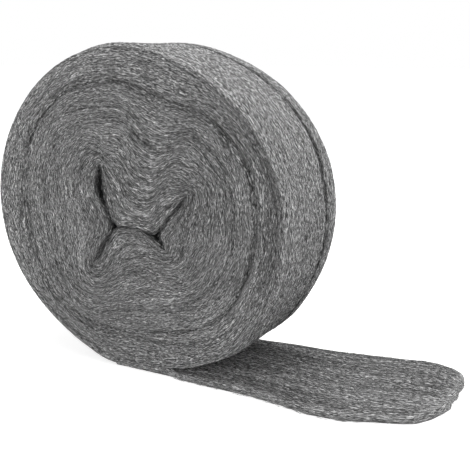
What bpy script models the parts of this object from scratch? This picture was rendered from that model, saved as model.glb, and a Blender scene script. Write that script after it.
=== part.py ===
"""A roll of steel wool: one long flat ribbon, wound up, with its free end lying on the bench.

The roll's axis runs along Y and its turns show on the faces at -Y and +Y. It stands on its rim,
where its own weight has pressed a flat spot, and the free end runs out to +X. The origin is on
the bench straight below the axis.
"""
import functools
import math

import bmesh
import bpy
import numpy as np

# Ribbon and winding, in metres
WIDTH = 0.1016
THICK = 0.0075
TURNS = 12
CORE_RADIUS = 0.0386
SEAM_ANGLE = math.radians(-78)
SAG = 0.0082

# Out-of-roundness of the rim: waves per turn, height as a share of THICK, angle of the first crest
RIM_WAVES = ((2, 0.61, math.radians(-24)), (3, 0.16, math.radians(-61)), (4, 0.15, math.radians(18)))
# Length over which the last turn bends onto the bench
BENCH_BEND = 0.001
# How fast the turn above the free end gets its round back, in metres of radius per turn
SPRING_BACK = 0.12

# The squashed hollow in the middle, walked once round its four arms: the rim angle in degrees that
# each point of its wall faces, then the point's x and z from the axis as shares of CORE_RADIUS
HOLLOW = (
    (-60, 0.55, -0.515), (-42, 0.77, -0.64), (-28, 0.73, -0.48), (-12, 0.67, -0.345), (3, 0.89, -0.045),
    (12, 1.17, 0.25), (20, 1.28, 0.46), (29, 1.17, 0.35), (44, 0.84, 0.00), (58, 0.51, -0.32),
    (72, 0.14, -0.255), (86, -0.32, -0.24), (98, -0.50, -0.05), (110, -0.66, 0.45), (119, -0.69, 0.82),
    (127, -0.74, 0.96), (136, -0.84, 0.82), (150, -0.91, 0.42), (170, -0.65, 0.02), (188, -0.55, -0.34),
    (208, -0.80, -0.75), (226, -0.97, -1.08), (240, -0.83, -0.97), (258, -0.47, -0.40), (275, -0.06, -0.275),
    (289, 0.26, -0.36),
)
# The middle turns fold in at the arms and swell out between them: rim angle in degrees, turns outward
FOLDS = (
    (-78, -0.35), (-49, -1.0), (-10, 0.27), (17, -0.55), (50, 1.05), (71, -0.6), (98, 0.95),
    (116, 0.05), (129, -0.4), (142, 0.0), (160, 0.5), (190, 0.15), (217, 0.2), (245, 1.05), (265, 0.25),
)
FOLDS_GROW_TO = 2
FOLDS_FADE_FROM = 5
# Span of rim angle over which the wall's direction is averaged, so that turns never cross
WALL_BLEND = math.radians(18)
# Share of the wall's own direction in how a layer leaves the hollow
WALL_PULL = 0.5

# Faces: groove between two turns, and where it stands deeper: from and to in turns out along the
# spiral, depth as a share of DEEP_GROOVE
GROOVE = 0.0016
DEEP_GROOVE = 0.0036
DEEP_STRETCHES = ((6.42, 6.50, 0.7), (7.08, 7.36, 0.45), (9.02, 9.62, 1.0), (9.86, 10.04, 0.5))
DEEP_FADE = 0.06
# Uneven lay of the faces: waves per turn, turns per wave outward, height as a share of THICK, start
FACE_SWELLS = ((3, 5.3, 0.06, 0.4), (5, -3.7, 0.05, 2.1), (8, 2.9, 0.045, 4.4), (11, -2.3, 0.035, 1.3))
# The outer turns' edges lie back on the side that faces right: depth, middle and half width in degrees
SHOULDER_BACK = 0.0024
SHOULDER_ANGLE, SHOULDER_HALF = 8, 85
# Rounded edges of the rim, on the face and on the rim, and the share of a turn in which they grow
EDGE_BACK = 0.0026
EDGE_DROP = 0.0024
EDGE_REACH = 0.009
EDGE_GROWS_OVER = 0.12
# Uneven lay of the rim: waves per turn, waves across the ribbon, height as a share of THICK, start
RIM_SWELLS = ((4, 0.6, 0.07, 0.9), (7, -1.1, 0.05, 3.3), (12, 0.9, 0.03, 5.1))

# Rim: a furrow pressed round it, its middle a good way in from the back edge, with a bead behind
FURROW_IN = 0.024
FURROW_DEPTH = 0.0034
FURROW_HALF = 0.0035

# Free end: length from the seam, thickness, and how far each long edge strays outward
TAIL_LENGTH = 0.2145
TAIL_THICK = 0.0070
TAIL_END_THICK = 0.0062
TAIL_SIDE_SHARE = 0.15
TAIL_SIDE_SWELL = 0.0012
TAIL_SINK = 0.06
# Share of the length, stray of the near edge and of the far edge as shares of WIDTH
TAIL_EDGES = (
    (0.00, 0.0, 0.0), (0.20, 0.0, -0.015), (0.36, 0.005, 0.02), (0.48, 0.034, 0.03),
    (0.60, 0.079, 0.069), (0.70, 0.064, 0.108), (0.76, 0.02, 0.128), (0.83, -0.049, 0.172),
    (0.88, -0.084, 0.177), (0.94, -0.153, 0.138), (1.00, -0.226, 0.03),
)
# Torn end: share of the width from the near edge, share of the length it reaches
TAIL_TEAR = ((0.0, 0.93), (0.08, 0.965), (0.2, 0.985), (0.34, 1.0), (0.46, 0.99), (0.58, 1.0),
             (0.72, 0.992), (0.86, 0.996), (1.0, 0.978))
# Lengthwise hollows in the free end's top: share of the width, depth as a share of TAIL_THICK
TAIL_HOLLOWS = ((0.18, 0.13), (0.45, 0.17), (0.76, 0.14))
TAIL_HOLLOW_SPREAD = 0.09

# Rim points this close above the bench are pressed flat onto it
PRESSED = 0.0004

# Mesh steps round the roll, through one turn and along the free end
COLUMNS = 60
ROWS_PER_TURN = 3
TAIL_STEPS = 16

COLOUR = (0.17, 0.17, 0.168, 1.0)
ROUGHNESS = 0.55

# Worked out from the sizes above
RIM_RADIUS = CORE_RADIUS + TURNS * THICK
AXIS_HEIGHT = RIM_RADIUS + THICK - SAG
OUTER_ROW = TURNS * ROWS_PER_TURN
HALF = WIDTH / 2
FURROW_Y = HALF - FURROW_IN
FURROW_FRONT = FURROW_Y - 2 * FURROW_HALF
RIM_STEPS = (-HALF, EDGE_REACH / 2 - HALF, EDGE_REACH - HALF, -0.4 * HALF, (FURROW_FRONT - 0.4 * HALF) / 2,
             FURROW_FRONT, FURROW_Y - FURROW_HALF, FURROW_Y, FURROW_Y + FURROW_HALF,
             HALF - EDGE_REACH, HALF - EDGE_REACH / 2, HALF)


def ramp(value, low, high):
    """0 below low, 1 above high and a smooth step between them."""
    share = min(1.0, max(0.0, (value - low) / (high - low)))
    return share * share * (3 - 2 * share)


def bump(value, middle, half):
    """1 at the middle, falling smoothly to 0 at half a width either side."""
    share = min(1.0, abs(value - middle) / half)
    return (1 - share * share) ** 2


def along(table, share):
    """Straight interpolation in a table whose first column rises; one value for each other column."""
    columns = list(zip(*table))
    return [float(np.interp(share, columns[0], column)) for column in columns[1:]]


def hermite(start, start_pull, end, end_pull, share):
    """Cubic from start to end that leaves and arrives along the two pulls."""
    square, cube = share ** 2, share ** 3
    return (start * (2 * cube - 3 * square + 1) + start_pull * (cube - 2 * square + share)
            + end * (3 * square - 2 * cube) + end_pull * (cube - square))


def soft_min(first, second, bend):
    """The lesser of two, with a rounded change from one to the other."""
    return min(first, second) - bend * math.log1p(math.exp(-abs(first - second) / bend))


def round_table(table, angle):
    """Smooth curve through a table once round the roll; its first column is a rim angle in degrees."""
    first = table[0][0]
    degrees = (math.degrees(angle) - first) % 360 + first
    knots = [(table[-1][0] - 360,) + table[-1][1:], *table,
             (table[0][0] + 360,) + table[0][1:], (table[1][0] + 360,) + table[1][1:]]
    index = max(i for i in range(1, len(knots) - 2) if knots[i][0] <= degrees)
    before, start, end, after = (np.array(knot, float) for knot in knots[index - 1:index + 3])
    span = end[0] - start[0]
    start_pull = (end - before)[1:] / (end[0] - before[0]) * span
    end_pull = (after - start)[1:] / (after[0] - start[0]) * span
    return hermite(start[1:], start_pull, end[1:], end_pull, (degrees - start[0]) / span)


def hollow_wall(angle):
    """Point on the hollow's wall for a rim angle in radians: x, and z from the axis, in metres."""
    return round_table(HOLLOW, angle) * CORE_RADIUS


def wall_direction(angle):
    """Direction out of the hollow's wall, averaged over WALL_BLEND to either side."""
    step = math.radians(1.5)
    count = round(WALL_BLEND / step)
    total = np.zeros(2)
    for k in range(-count, count + 1):
        weight = 1 + math.cos(math.pi * k / (count + 1))
        tangent = hollow_wall(angle + (k + 0.5) * step) - hollow_wall(angle + (k - 0.5) * step)
        length = math.hypot(*tangent)
        if length > 1e-9:
            total += weight * np.array((tangent[1], -tangent[0])) / length
    return total / (2 * (count + 1))


def rim_radius(turn):
    """Radius of the last full turn's outer side at a share of a turn past the seam."""
    angle = SEAM_ANGLE + 2 * math.pi * turn
    waves = sum(share * math.cos(count * (angle - crest)) for count, share, crest in RIM_WAVES)
    seam_radius = (AXIS_HEIGHT - THICK) / -math.sin(SEAM_ANGLE)
    radius = min(RIM_RADIUS + THICK * waves, seam_radius + SPRING_BACK * turn)
    if turn > 0.5 and math.sin(angle) < 0:
        radius = soft_min(radius, (AXIS_HEIGHT - THICK * turn) / -math.sin(angle), BENCH_BEND)
    return radius


@functools.cache
def spoke(turn):
    """The line from the hollow out to the rim at a share of a turn past the seam: ends, pulls and fold."""
    angle = SEAM_ANGLE + 2 * math.pi * turn
    outward = np.array((math.cos(angle), math.sin(angle)))
    start = hollow_wall(angle)
    end = rim_radius(turn) * outward
    reach = end - start
    length = math.hypot(*reach)
    start_pull = (1 - WALL_PULL) * reach + WALL_PULL * length * wall_direction(angle)
    return start, start_pull, end, length * outward, outward, round_table(FOLDS, angle)[0]


def layer_point(turn, layer):
    """x and z of a layer, counted in turns from the hollow, at a share of a turn past the seam."""
    start, start_pull, end, end_pull, outward, fold = spoke(turn)
    if layer < TURNS:
        folded = layer + fold * ramp(layer, 0, FOLDS_GROW_TO) * (1 - ramp(layer, FOLDS_FADE_FROM, TURNS))
        point = hermite(start, start_pull, end, end_pull, max(0.0, folded) / TURNS)
    else:
        point = end + outward * (layer - TURNS) * THICK
    return point[0], AXIS_HEIGHT + point[1]


def edge_share(turn):
    """The rounded edge grows from nothing just past the seam, where the turn still lies on the free end."""
    return ramp(turn, 0.0, EDGE_GROWS_OVER)


def groove_depth(turn, layer):
    """Depth of the groove that winds out between the turns."""
    winds = layer - turn
    deep = sum(share * ramp(layer, start - DEEP_FADE, start) * (1 - ramp(layer, stop, stop + DEEP_FADE))
               for start, stop, share in DEEP_STRETCHES)
    plain = 0.5 + 0.5 * math.cos(2 * math.pi * winds)
    return GROOVE * plain + DEEP_GROOVE * deep * bump(winds, round(winds), 0.5)


def face_depth(turn, layer, side):
    """How far a face lies inside the ribbon's full half width; side is -1 in front and 1 behind."""
    below_rim = TURNS + turn - layer
    swell = sum(share * (1 - math.cos(2 * math.pi * (count * turn + layer / span) + start + side * count))
                for count, span, share, start in FACE_SWELLS)
    depth = groove_depth(turn, layer) + THICK * swell * ramp(below_rim, 0, 2)
    if side < 0:
        degrees = math.degrees(SEAM_ANGLE) + 360 * turn
        depth += SHOULDER_BACK * bump(degrees, SHOULDER_ANGLE, SHOULDER_HALF) * bump(below_rim, 1.2, 1.8)
    return depth + edge_share(turn) * EDGE_BACK * (1 - min(1.0, below_rim)) ** 2


def rim_point(turn, step):
    """Point on the rim, at a place across the ribbon's width."""
    y = step * (1 - face_depth(turn, TURNS + turn, math.copysign(1, step)) / HALF)
    edge = max(0.0, abs(step) - HALF + EDGE_REACH) / EDGE_REACH
    swell = sum(share * math.cos(2 * math.pi * (count * turn + across * step / WIDTH) + start)
                for count, across, share, start in RIM_SWELLS)
    drop = EDGE_DROP * edge ** 2 + FURROW_DEPTH * bump(step, FURROW_Y, FURROW_HALF)
    drop = edge_share(turn) * (drop + THICK * swell * (1 - ramp(turn, 0.85, 0.93)))
    x, z = layer_point(turn, TURNS + turn)
    outward = spoke(turn)[4]
    if turn > 0.5 and z < PRESSED:
        return x, y, 0.0
    return x - drop * outward[0], y, z - drop * outward[1]


def tail_point(share, step, top):
    """Point on the free end: share of its length, step across it, and its top or its under side."""
    across = step / WIDTH + 0.5
    reach = share * along(TAIL_TEAR, across)[0]
    near, far = along(TAIL_EDGES, reach)
    seam_x, seam_z = layer_point(1.0, TURNS + (0 if top else 1))
    x = seam_x + reach * TAIL_LENGTH
    inset = 0.0 if top else EDGE_BACK * 0.5
    left = -HALF - near * WIDTH + inset
    right = HALF + far * WIDTH - inset
    y = left + across * (right - left)
    if not top:
        return x, y, 0.0
    thick = THICK + (TAIL_THICK - THICK) * ramp(share, 0, TAIL_SINK)
    thick += (TAIL_END_THICK - TAIL_THICK) * ramp(share, 0.8, 1)
    hollows = sum(depth * bump(across, place, TAIL_HOLLOW_SPREAD) for place, depth in TAIL_HOLLOWS)
    thick -= ramp(share, 0, 0.15) * hollows * TAIL_THICK
    edge = max(0.0, abs(step) - HALF + EDGE_REACH) / EDGE_REACH
    return x, y, thick * (1 - TAIL_SIDE_SHARE * ramp(share, 0, TAIL_SINK) * edge ** 2)


def tail_side(share, step, down):
    """Point on one long side of the free end, at a share of the way down from its top."""
    x, y, top = tail_point(share, step, True)
    return x, y + math.copysign(TAIL_SIDE_SWELL, step) * math.sin(math.pi * down), top * (1 - down)


def build_roll():
    """Vertices and faces of the whole roll with its free end, as one closed skin."""
    shape = bmesh.new()
    steps = range(len(RIM_STEPS))
    last = len(RIM_STEPS) - 1

    def new(x, y, z):
        return shape.verts.new((x, y, z))

    def face(*corners):
        ring = [v for i, v in enumerate(corners) if v is not corners[i - 1]]
        if len(set(ring)) > 2:
            shape.faces.new(ring)

    # Faces of the roll: one vertex for each column and row, with the rows a true spiral
    wall, rows = {}, {}
    for side in (-1, 1):
        for i in range(COLUMNS + 1):
            turn = i / COLUMNS
            if i < COLUMNS:
                x, z = layer_point(turn, 0)
                wall[side, i] = new(x, side * (HALF - face_depth(turn, 0, side)), z)
            else:
                wall[side, i] = wall[side, 0]
            for j in range(1 - ROWS_PER_TURN, OUTER_ROW + 1):
                layer = j / ROWS_PER_TURN + turn
                if i == COLUMNS and j <= OUTER_ROW - ROWS_PER_TURN:
                    rows[side, i, j] = rows.get((side, 0, j + ROWS_PER_TURN))
                elif layer <= 0.1:
                    rows[side, i, j] = wall[side, i]
                elif j < OUTER_ROW:
                    x, z = layer_point(turn, layer)
                    rows[side, i, j] = new(x, side * (HALF - face_depth(turn, layer, side)), z)
    rim = {}
    for i in range(COLUMNS + 1):
        for k in steps:
            rim[i, k] = new(*rim_point(i / COLUMNS, RIM_STEPS[k]))
        for side, k in ((-1, 0), (1, last)):
            rows[side, i, OUTER_ROW] = rim[i, k]
    for side in (-1, 1):
        rows[side, COLUMNS, OUTER_ROW - ROWS_PER_TURN] = rows[side, 0, OUTER_ROW]

    for side in (-1, 1):
        for i in range(COLUMNS):
            first = 1 - ROWS_PER_TURN
            face(wall[side, i], wall[side, i + 1], rows[side, i + 1, first], rows[side, i, first])
            for j in range(first, OUTER_ROW):
                face(rows[side, i, j], rows[side, i + 1, j], rows[side, i + 1, j + 1], rows[side, i, j + 1])
    for i in range(COLUMNS):
        face(wall[-1, i], wall[1, i], wall[1, i + 1], wall[-1, i + 1])
        for k in range(last):
            face(rim[i, k], rim[i + 1, k], rim[i + 1, k + 1], rim[i, k + 1])

    # Free end: its first section is the end of the last turn, between the rim's two ends
    top = [rim[0, k] for k in steps]
    under = [rim[COLUMNS, k] for k in steps]
    between = range(OUTER_ROW - ROWS_PER_TURN + 1, OUTER_ROW)
    sides = [[rows[side, COLUMNS, j] for j in between] for side in (-1, 1)]
    section = top + sides[1] + under[::-1] + sides[0][::-1]
    for n in range(1, TAIL_STEPS + 1):
        share = n / TAIL_STEPS
        new_top = [new(*tail_point(share, RIM_STEPS[k], True)) for k in steps]
        new_under = [new(*tail_point(share, RIM_STEPS[k], False)) for k in steps]
        new_sides = [[new(*tail_side(share, RIM_STEPS[k], j / ROWS_PER_TURN))
                      for j in range(1, ROWS_PER_TURN)] for k in (0, last)]
        new_section = new_top + new_sides[1] + new_under[::-1] + new_sides[0][::-1]
        for k in range(len(section)):
            face(section[k - 1], section[k], new_section[k], new_section[k - 1])
        section = new_section
    for k in range(last):
        face(new_top[k], new_top[k + 1], new_under[k + 1], new_under[k])
    face(new_top[0], *new_sides[0], new_under[0])
    face(new_top[last], *new_sides[1], new_under[last])

    bmesh.ops.remove_doubles(shape, verts=shape.verts, dist=1e-6)
    bmesh.ops.recalc_face_normals(shape, faces=shape.faces)
    return shape


def steel():
    """Plain fine steel, for the one ribbon."""
    material = bpy.data.materials.new("steel_wool")
    material.use_nodes = True
    shader = material.node_tree.nodes["Principled BSDF"]
    shader.inputs["Base Color"].default_value = COLOUR
    shader.inputs["Metallic"].default_value = 0.6
    shader.inputs["Roughness"].default_value = ROUGHNESS
    return material


def main():
    for thing in list(bpy.data.objects):
        bpy.data.objects.remove(thing, do_unlink=True)
    mesh = bpy.data.meshes.new("steel_wool_roll")
    shape = build_roll()
    shape.to_mesh(mesh)
    shape.free()
    mesh.shade_smooth()
    mesh.set_sharp_from_angle(angle=math.radians(55))
    mesh.materials.append(steel())
    bpy.context.scene.collection.objects.link(bpy.data.objects.new("steel_wool_roll", mesh))


main()
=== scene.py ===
"""Looks of a roll of steel wool: the wound ribbon as one fine mesh, its loose fibres and the studio.

Lengths here are in millimetres until a mesh is made. A place on the wool is given by its turn, the
share of a turn past the seam where the free end leaves the roll, and its layer, the number of turns
out from the hollow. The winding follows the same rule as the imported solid.
"""
import math

import bpy
import numpy as np
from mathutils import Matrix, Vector


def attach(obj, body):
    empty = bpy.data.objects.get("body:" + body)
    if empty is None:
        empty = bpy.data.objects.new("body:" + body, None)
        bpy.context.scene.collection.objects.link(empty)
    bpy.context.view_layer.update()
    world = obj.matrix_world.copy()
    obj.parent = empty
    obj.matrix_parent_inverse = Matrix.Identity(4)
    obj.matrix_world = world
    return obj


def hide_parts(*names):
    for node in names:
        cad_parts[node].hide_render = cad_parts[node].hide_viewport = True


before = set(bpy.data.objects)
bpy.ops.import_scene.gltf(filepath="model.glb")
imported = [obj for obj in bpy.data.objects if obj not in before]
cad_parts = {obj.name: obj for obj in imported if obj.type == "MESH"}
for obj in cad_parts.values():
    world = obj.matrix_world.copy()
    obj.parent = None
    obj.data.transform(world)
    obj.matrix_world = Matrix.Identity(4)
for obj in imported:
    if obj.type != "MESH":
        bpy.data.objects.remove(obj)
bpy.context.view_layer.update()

# The winding, as in the solid
WIDTH = 101.6
HALF = WIDTH / 2
THICK = 7.5
TURNS = 12
CORE_RADIUS = 38.6
SEAM_DEGREES = -78
SEAM_ANGLE = math.radians(SEAM_DEGREES)
SAG = 8.2
RIM_RADIUS = CORE_RADIUS + TURNS * THICK
AXIS_HEIGHT = RIM_RADIUS + THICK - SAG
RIM_LENGTH = 2 * math.pi * RIM_RADIUS
RIM_WAVES = ((2, 0.61, math.radians(-24)), (3, 0.16, math.radians(-61)), (4, 0.15, math.radians(18)))
BENCH_BEND, BENCH_SINE = 1.0, -0.3
SPRING_BACK = 120
HOLLOW = (
    (-60, 0.55, -0.515), (-42, 0.77, -0.64), (-28, 0.73, -0.48), (-12, 0.67, -0.345), (3, 0.89, -0.045),
    (12, 1.17, 0.25), (20, 1.28, 0.46), (29, 1.17, 0.35), (44, 0.84, 0.00), (58, 0.51, -0.32),
    (72, 0.14, -0.255), (86, -0.32, -0.24), (98, -0.50, -0.05), (110, -0.66, 0.45), (119, -0.69, 0.82),
    (127, -0.74, 0.96), (136, -0.84, 0.82), (150, -0.91, 0.42), (170, -0.65, 0.02), (188, -0.55, -0.34),
    (208, -0.80, -0.75), (226, -0.97, -1.08), (240, -0.83, -0.97), (258, -0.47, -0.40), (275, -0.06, -0.275),
    (289, 0.26, -0.36),
)
FOLDS = (
    (-78, -0.35), (-49, -1.0), (-10, 0.27), (17, -0.55), (50, 1.05), (71, -0.6), (98, 0.95),
    (116, 0.05), (129, -0.4), (142, 0.0), (160, 0.5), (190, 0.15), (217, 0.2), (245, 1.05), (265, 0.25),
)
FOLDS_GROW_TO, FOLDS_FADE_FROM = 2, 5
WALL_BLEND = 18
WALL_PULL = 0.5
GROOVE, DEEP_GROOVE = 1.6, 3.6
DEEP_STRETCHES = ((6.42, 6.50, 0.7), (7.08, 7.36, 0.45), (9.02, 9.62, 1.0), (9.86, 10.04, 0.5))
DEEP_FADE = 0.06
FACE_SWELLS = ((3, 5.3, 0.06, 0.4), (5, -3.7, 0.05, 2.1), (8, 2.9, 0.045, 4.4), (11, -2.3, 0.035, 1.3))
SHOULDER_BACK, SHOULDER_ANGLE, SHOULDER_HALF = 2.4, 8, 85
SHOULDER_IN, SHOULDER_REACH = 1.2, 1.8
EDGE_BACK, EDGE_DROP, EDGE_REACH, EDGE_GROWS_OVER = 2.6, 2.4, 9.0, 0.12
RIM_SWELLS_FADE = (0.85, 0.93)
RIM_SWELLS = ((4, 0.6, 0.07, 0.9), (7, -1.1, 0.05, 3.3), (12, 0.9, 0.03, 5.1))
FURROW_IN, FURROW_DEPTH, FURROW_HALF = 24, 3.4, 3.5
FURROW_Y = HALF - FURROW_IN
PRESSED = 0.4

# The free end, as in the solid
TAIL_LENGTH = 214.5
TAIL_THICK, TAIL_END_THICK = 7.0, 6.2
TAIL_SIDE_SHARE, TAIL_SIDE_SWELL, TAIL_SINK = 0.15, 1.2, 0.06
TAIL_THINS_FROM = 0.8
TAIL_EDGES = (
    (0.00, 0.0, 0.0), (0.20, 0.0, -0.015), (0.36, 0.005, 0.02), (0.48, 0.034, 0.03),
    (0.60, 0.079, 0.069), (0.70, 0.064, 0.108), (0.76, 0.02, 0.128), (0.83, -0.049, 0.172),
    (0.88, -0.084, 0.177), (0.94, -0.153, 0.138), (1.00, -0.226, 0.03),
)
TAIL_TEAR = ((0.0, 0.93), (0.08, 0.965), (0.2, 0.985), (0.34, 1.0), (0.46, 0.99), (0.58, 1.0),
             (0.72, 0.992), (0.86, 0.996), (1.0, 0.978))
TAIL_HOLLOWS = ((0.18, 0.13), (0.45, 0.17), (0.76, 0.14))
TAIL_HOLLOW_SPREAD, TAIL_HOLLOWS_GROW_TO = 0.09, 0.15

# Finer than the solid: where a face drops to the rim, in turns, the free end's set-in start and its tear
FACE_EDGE = 1 / 3
TAIL_SIDES_SET_IN_TO = 0.12
TORN_BULGE = 1.2

# Mesh steps of the fine wool
COLUMNS = 480
FRONT_ROWS = 6
BACK_ROWS = 3
RIM_ROWS = 54
HOLLOW_ROWS = 8
TAIL_COLUMNS = 130
# Points of a face fewer layers out from the hollow than this fall together with its wall
NEAR_WALL = 0.1

# Bands of the bake square that the sheets of the wool take up
BAKE_FRONT, BAKE_BACK, BAKE_RIM = (0.0, 0.34), (0.34, 0.52), (0.52, 0.78)
BAKE_HOLLOW, BAKE_TAIL, BAKE_UNDER = (0.78, 0.8), (0.8, 0.89), (0.89, 0.96)
BAKE_NEAR, BAKE_FAR = (0.96, 0.97), (0.97, 0.98)
BAKE_TORN_SIDES, BAKE_TORN = (0.982, 0.984), (0.985, 1.0)

# Where the lay of each sheet but the faces starts across the winding, in turns, so that none look alike
LAY_RIM, LAY_HOLLOW, LAY_TAIL, LAY_NEAR, LAY_FAR, LAY_TORN, LAY_TORN_SIDES = 20, 40, 60, 42, 74, 76, 79
# Share of a turn that the lay of the torn end runs over
TORN_RUN = 1 / 8

# Camera, fitted to the photo's outline
CAMERA_PLACE = (0.3637, -0.5414, 0.2479)
CAMERA_AZIMUTH = 28.91
CAMERA_ELEVATION = 12.65
CAMERA_LENS = 61.28
SENSOR = 36.0


def ramp(value, low, high):
    """0 below low, 1 above high and a smooth step between them."""
    share = np.clip((value - low) / (high - low), 0, 1)
    return share * share * (3 - 2 * share)


def bump(value, middle, half):
    """1 at the middle, falling smoothly to 0 at half a width either side."""
    share = np.clip(np.abs(value - middle) / half, 0, 1)
    return (1 - share * share) ** 2


def hermite(start, start_pull, end, end_pull, share):
    """Cubic from start to end that leaves and arrives along the two pulls."""
    square, cube = share ** 2, share ** 3
    return (start * (2 * cube - 3 * square + 1) + start_pull * (cube - 2 * square + share)
            + end * (3 * square - 2 * cube) + end_pull * (cube - square))


def soft_min(first, second, bend):
    """The lesser of two, with a rounded change from one to the other."""
    return np.minimum(first, second) - bend * np.log1p(np.exp(-np.abs(first - second) / bend))


# The winding


def round_table(table, degrees):
    """Smooth curve through a table once round the roll; its first column is a rim angle in degrees."""
    table = np.array(table, float)
    lap = np.zeros(table.shape[1])
    lap[0] = 360
    knots = np.vstack((table[-1:] - lap, table, table[:2] + lap))
    degrees = (degrees - table[0, 0]) % 360 + table[0, 0]
    index = np.clip(np.searchsorted(knots[:, 0], degrees, "right") - 1, 1, len(knots) - 3)
    before, start, end, after = (knots[index + k] for k in (-1, 0, 1, 2))
    span = end[:, :1] - start[:, :1]
    start_pull = (end - before)[:, 1:] / (end - before)[:, :1] * span
    end_pull = (after - start)[:, 1:] / (after - start)[:, :1] * span
    share = (degrees[:, None] - start[:, :1]) / span
    return hermite(start[:, 1:], start_pull, end[:, 1:], end_pull, share)


def hollow_wall(degrees):
    """Points on the hollow's wall for rim angles in degrees, from the axis."""
    return round_table(HOLLOW, degrees) * CORE_RADIUS


def wall_direction(degrees):
    """Directions out of the hollow's wall, averaged over WALL_BLEND degrees to either side."""
    step = 1.5
    count = round(WALL_BLEND / step)
    total = np.zeros((len(degrees), 2))
    for k in range(-count, count + 1):
        weight = 1 + math.cos(math.pi * k / (count + 1))
        tangent = hollow_wall(degrees + (k + 0.5) * step) - hollow_wall(degrees + (k - 0.5) * step)
        length = np.maximum(np.hypot(*tangent.T), 1e-6)[:, None]
        total += weight * np.stack((tangent[:, 1], -tangent[:, 0]), 1) / length
    return total / (2 * (count + 1))


def rim_radius(turn):
    """Radius of the last full turn's outer side."""
    angle = SEAM_ANGLE + 2 * math.pi * turn
    waves = sum(share * np.cos(count * (angle - crest)) for count, share, crest in RIM_WAVES)
    seam_radius = (AXIS_HEIGHT - THICK) / -math.sin(SEAM_ANGLE)
    radius = np.minimum(RIM_RADIUS + THICK * waves, seam_radius + SPRING_BACK * turn)
    sine = np.sin(angle)
    low = (turn > 0.5) & (sine < BENCH_SINE)
    bench = (AXIS_HEIGHT - THICK * turn) / np.where(low, -sine, 1)
    return np.where(low, soft_min(radius, bench, BENCH_BEND), radius)


# Every spoke from the hollow out to the rim: start, its pull, end, length and fold
SPOKES = 2880
SPOKE_TURNS = np.arange(SPOKES + 1) / SPOKES
SPOKE_DEGREES = SEAM_DEGREES + 360 * SPOKE_TURNS
SPOKE_START = hollow_wall(SPOKE_DEGREES)
SPOKE_OUTWARD = np.stack((np.cos(np.radians(SPOKE_DEGREES)), np.sin(np.radians(SPOKE_DEGREES))), 1)
SPOKE_END = rim_radius(SPOKE_TURNS)[:, None] * SPOKE_OUTWARD
SPOKE_REACH = SPOKE_END - SPOKE_START
SPOKE_LENGTH = np.hypot(*SPOKE_REACH.T)[:, None]
SPOKE_PULL = (1 - WALL_PULL) * SPOKE_REACH + WALL_PULL * SPOKE_LENGTH * wall_direction(SPOKE_DEGREES)
SPOKE_FOLD = round_table(FOLDS, SPOKE_DEGREES)
SPOKE_NORMAL = wall_direction(SPOKE_DEGREES)
SPOKE_NORMAL /= np.maximum(np.hypot(*SPOKE_NORMAL.T), 0.1)[:, None]
SPOKE_TABLE = np.hstack((SPOKE_START, SPOKE_PULL, SPOKE_END, SPOKE_LENGTH, SPOKE_FOLD))


def layer_point(turn, layer):
    """x and z of places in the winding, and the direction outward there."""
    turn, layer = np.broadcast_arrays(np.asarray(turn, float), np.asarray(layer, float))
    wrapped = np.where(turn == 1.0, 1.0, turn % 1.0)
    columns = [np.interp(wrapped, SPOKE_TURNS, column) for column in SPOKE_TABLE.T]
    angle = SEAM_ANGLE + 2 * math.pi * turn
    outward = np.stack((np.cos(angle), np.sin(angle)), -1)
    start, pull, end = (np.stack(columns[k:k + 2], -1) for k in (0, 2, 4))
    folded = layer + columns[7] * ramp(layer, 0, FOLDS_GROW_TO) * (1 - ramp(layer, FOLDS_FADE_FROM, TURNS))
    inside = np.clip(folded, 0, TURNS)[..., None] / TURNS
    beyond = np.maximum(layer - TURNS, 0)[..., None] * THICK
    point = hermite(start, pull, end, columns[6][..., None] * outward, inside) + outward * beyond
    return point[..., 0], point[..., 1] + AXIS_HEIGHT, outward


def edge_share(turn):
    """The rounded edge grows from nothing just past the seam."""
    return ramp(turn, 0.0, EDGE_GROWS_OVER)


def deep_at(layer):
    """How much deeper the winding's groove stands at a number of turns out along it."""
    return sum(share * ramp(layer, start - DEEP_FADE, start) * (1 - ramp(layer, stop, stop + DEEP_FADE))
               for start, stop, share in DEEP_STRETCHES)


def face_depth(turn, layer, side):
    """How far a face lies inside the ribbon's half width: -1 is the front face, 1 the back face."""
    turn = np.where(turn == 1.0, 1.0, turn % 1.0)
    winds = layer - turn
    depth = GROOVE * (0.5 + 0.5 * np.cos(2 * math.pi * winds))
    depth = depth + DEEP_GROOVE * deep_at(layer) * bump(winds, np.round(winds), 0.5)
    below_rim = TURNS + turn - layer
    swell = sum(share * (1 - np.cos(2 * math.pi * (count * turn + layer / span) + start + side * count))
                for count, span, share, start in FACE_SWELLS)
    depth = depth + THICK * swell * ramp(below_rim, 0, 2)
    if side < 0:
        right = bump(SEAM_DEGREES + 360 * turn, SHOULDER_ANGLE, SHOULDER_HALF)
        depth = depth + SHOULDER_BACK * right * bump(below_rim, SHOULDER_IN, SHOULDER_REACH)
    return depth + edge_share(turn) * EDGE_BACK * (1 - np.clip(below_rim, 0, 1)) ** 2


# Streaks in the wool


# Layers and millimetres of rim width that a map of streaks spans before it repeats
MAP_LAYERS = 16
MAP_ROWS = 512
MAP_COLUMNS = 1024
# Slope in a face's map of a line that follows the winding out
WINDING_SLANT = MAP_ROWS / MAP_LAYERS / MAP_COLUMNS


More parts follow.
